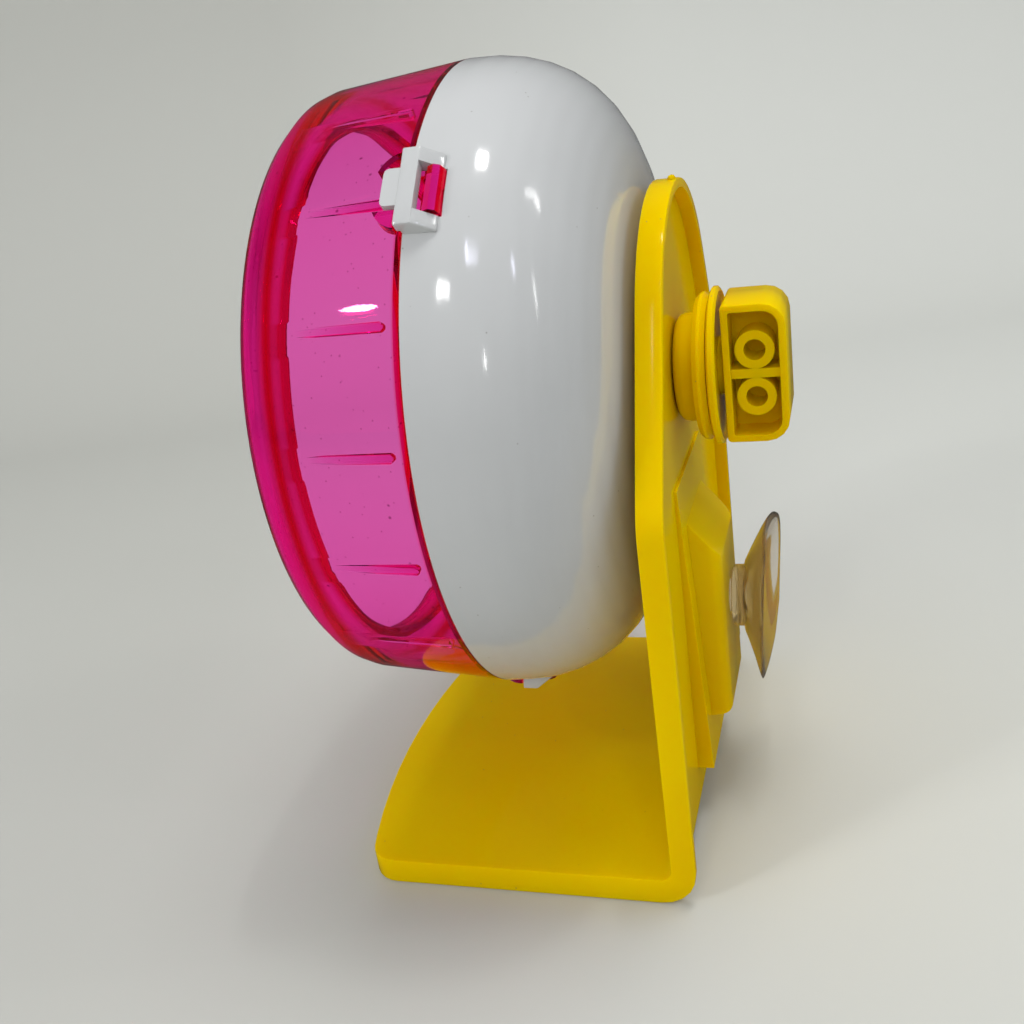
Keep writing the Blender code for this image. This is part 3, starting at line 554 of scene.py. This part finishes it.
def stem_thread():
    """The moulded thread on the wing screw's stem, a fine ridge from its point to the knob."""
    low = Vector(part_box("wing_screw")[0])
    length = 0.0112
    point = 0.0008
    radius = 0.0034
    rise = 0.00022
    half = 0.0005
    sunk = -0.0002
    pitch = 0.0020
    per_turn = 48
    run_out = 20
    count = int(length / pitch * per_turn)
    shape = bmesh.new()
    rows = []
    for i in range(count + 1):
        turn = math.tau * i / per_turn
        place = low.y + point + pitch * i / per_turn
        grown = min(1.0, i / run_out, (count - i) / run_out)
        row = []
        for across, height in ((-half, sunk), (0, rise * grown), (half, sunk)):
            corner = round_point(axis_point, radius + height, turn, place + across)
            row.append(shape.verts.new(corner))
        rows.append(row)
    for first, second in zip(rows, rows[1:]):
        for i in range(3):
            j = (i + 1) % 3
            shape.faces.new((first[i], first[j], second[j], second[i]))
    shape.faces.new(rows[0])
    shape.faces.new(list(reversed(rows[-1])))
    bmesh.ops.recalc_face_normals(shape, faces=shape.faces)
    thread = linked("stem_thread", finished_mesh("stem_thread", shape), "yellow_gloss")
    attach(thread, "wing")


stem_thread()


def gate_mark():
    """The torn gate left on the arch's top edge by the mould's feed."""
    half_size = Vector((0.0011, 0.0008, 0.0009))
    deepest = -0.0004
    place = Vector((axis_point.x, 0.0298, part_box("stand")[1][2]))
    shape = bmesh.new()
    bmesh.ops.create_icosphere(shape, subdivisions=3, radius=half_size.x)
    for vert in shape.verts:
        along = vert.co.normalized()
        ragged = 1 + 0.18 * math.sin(5 * along.x + 2) * math.cos(7 * along.y)
        ragged += 0.12 * math.sin(11 * along.z)
        vert.co = along * half_size * ragged
        vert.co.z = max(vert.co.z, deepest)
        vert.co += place
    mesh = finished_mesh("gate_mark", shape)
    mesh.shade_smooth()
    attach(linked("gate_mark", mesh, "yellow_gloss"), "stand")


gate_mark()


drum_middle = (0, 0, 0.1)
below_drum_middle = (0, 0, 0.08)
foot = (0, 0, 0.05)


def area_light(name, place, target, size, power, colour=(1, 1, 1)):
    """An oval lamp of a width and height, aimed at a target."""
    light = bpy.data.lights.new(name, "AREA")
    light.shape = "ELLIPSE"
    light.size = size[0]
    light.size_y = size[1]
    light.energy = power
    light.color = colour
    lamp = bpy.data.objects.new(name, light)
    lamp.location = place
    lamp.rotation_euler = (Vector(target) - Vector(place)).to_track_quat("-Z", "Y").to_euler()
    bpy.context.scene.collection.objects.link(lamp)
    return lamp


def lamp_for(name, place, size, power, colour=(1, 1, 1)):
    """A small lamp aimed at the drum, whose reflection is one of its highlights."""
    area_light(name, place, drum_middle, size, power, colour)


# Room lamps, placed where the bowl's and the ring's highlights mirror them
violet = (0.80, 0.80, 1.0)
lamp_for("lamp_overhead", (-0.037, 0.151, 1.093), (0.11, 0.024), 0.8)
lamp_for("lamp_side", (0.597, 0.265, 1.064), (0.030, 0.17), 0.36, violet)
lamp_for("lamp_low_side", (0.898, -0.026, 0.999), (0.034, 0.13), 0.65)
lamp_for("lamp_desk", (1.060, 0.537, 0.534), (0.025, 0.13), 0.3)
lamp_for("lamp_rear", (0.431, 0.841, 0.920), (0.028, 0.17), 0.30, violet)
lamp_for("lamp_far_rear", (-0.135, 0.844, 0.995), (0.024, 0.22), 0.4)
lamp_for("lamp_back", (0.240, 0.900, 0.565), (0.018, 0.24), 0.22)
lamp_for("lamp_front", (0.772, -0.689, 0.835), (0.045, 0.045), 0.8)


def soft_light(name, place, target, size, power):
    """A wide even light that lights the object but doesn't mirror in it."""
    lamp = area_light(name, place, target, (size, size), power)
    lamp.visible_glossy = False
    lamp.visible_transmission = False


soft_light("sky", (-0.10, 0.12, 1.35), below_drum_middle, 0.70, 8.0)
soft_light("front_sky", (1.25, 0.15, 0.65), below_drum_middle, 0.9, 3.3)
soft_light("rear_sky", (-0.30, 1.10, 0.80), below_drum_middle, 0.6, 2.0)
soft_light("far_sky", (-0.90, -0.60, 0.90), below_drum_middle, 0.8, 2.0)
soft_light("low_front", (0.80, -0.85, 0.60), foot, 0.3, 3.5)


def room(colour, lighting, mirrored, through, backdrop):
    """An even world: its brightness as a light, mirrored, through clear plastic and past the paper."""
    world = bpy.data.worlds.new("room")
    bpy.context.scene.world = world
    world.use_nodes = True
    tree = world.node_tree
    background = tree.nodes["Background"]
    background.inputs["Color"].default_value = (*colour, 1)
    ray = tree.nodes.new("ShaderNodeLightPath")
    reflected = remap(tree, ray.outputs["Is Glossy Ray"], lighting, mirrored, 0.0, 1.0)
    seen = tree.nodes.new("ShaderNodeMix")
    seen.inputs["B"].default_value = through
    tree.links.new(ray.outputs["Is Transmission Ray"], seen.inputs["Factor"])
    tree.links.new(reflected, seen.inputs["A"])
    behind = tree.nodes.new("ShaderNodeMix")
    behind.inputs["B"].default_value = backdrop
    tree.links.new(ray.outputs["Is Camera Ray"], behind.inputs["Factor"])
    tree.links.new(seen.outputs["Result"], behind.inputs["A"])
    tree.links.new(behind.outputs["Result"], background.inputs["Strength"])


room((0.96, 0.98, 1.0), lighting=0.34, mirrored=0.08, through=0.95, backdrop=0.45)
